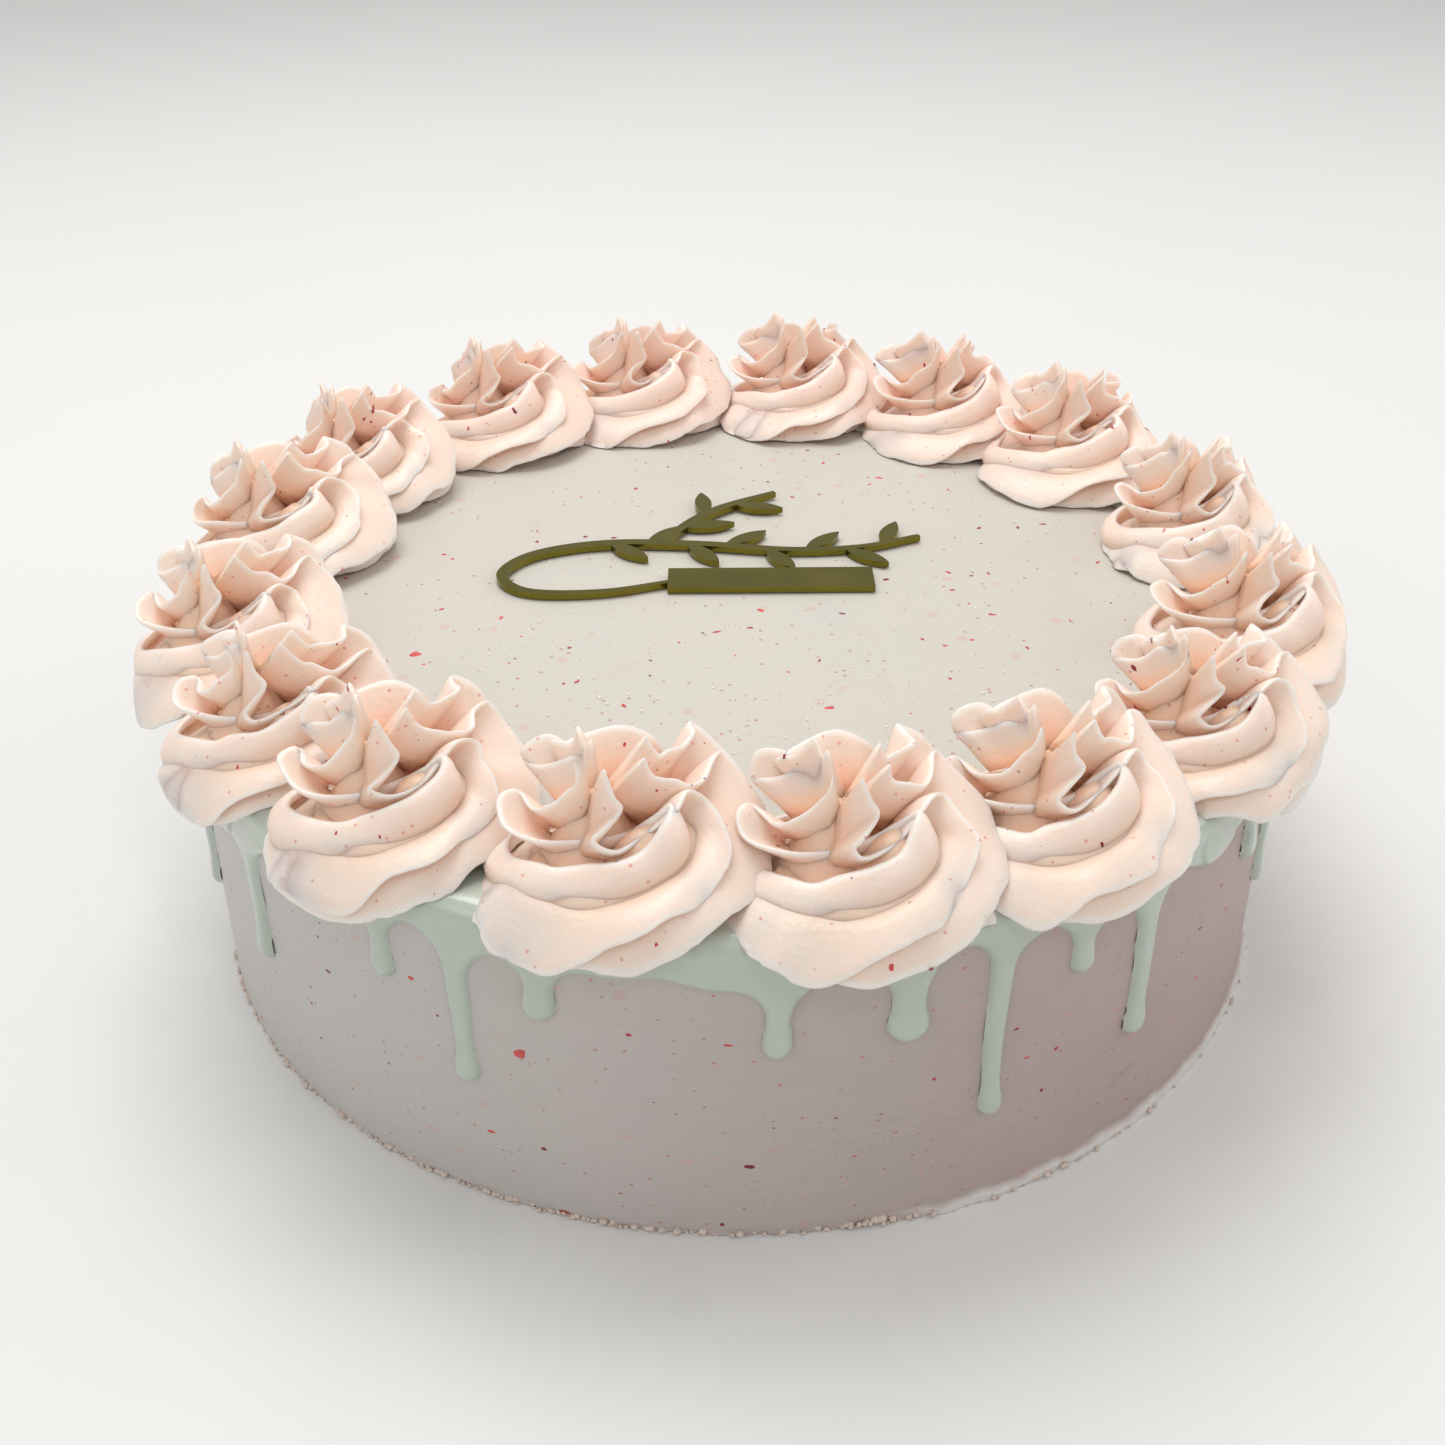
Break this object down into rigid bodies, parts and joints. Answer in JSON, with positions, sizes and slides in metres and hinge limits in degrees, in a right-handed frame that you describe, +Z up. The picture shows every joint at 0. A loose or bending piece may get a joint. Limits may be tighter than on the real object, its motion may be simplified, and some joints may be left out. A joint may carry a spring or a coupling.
{
  "type": "layer cake",
  "caption": "Whole round celebration cake with a smooth buttercream coat, a white chocolate drip, a ring of piped swirls round its rim and a flat gold ornament on top.",
  "frame": {"origin": "middle of the underside, where the cake rests", "axes": "+Z up; -Y towards the side that faces the camera, where the ornament reads upright; +X to the right of that side"},
  "size_m": [0.2849, 0.2797, 0.103],
  "materials": {
    "buttercream_coat": "smooth scraped buttercream with strawberry flecks",
    "piped_buttercream": "satin piped buttercream",
    "ganache": "glossy white chocolate",
    "gold": "mirror gold"
  },
  "bodies": {
    "root": {"cake_body": "buttercream_coat", "ganache_drip": "ganache", "rosette_01": "piped_buttercream", "rosette_02": "piped_buttercream", "rosette_03": "piped_buttercream", "rosette_04": "piped_buttercream", "rosette_05": "piped_buttercream", "rosette_06": "piped_buttercream", "rosette_07": "piped_buttercream", "rosette_08": "piped_buttercream", "rosette_09": "piped_buttercream", "rosette_10": "piped_buttercream", "rosette_11": "piped_buttercream", "rosette_12": "piped_buttercream", "rosette_13": "piped_buttercream", "rosette_14": "piped_buttercream", "rosette_15": "piped_buttercream", "rosette_16": "piped_buttercream", "topper": "gold"}
  },
  "joints": []
}
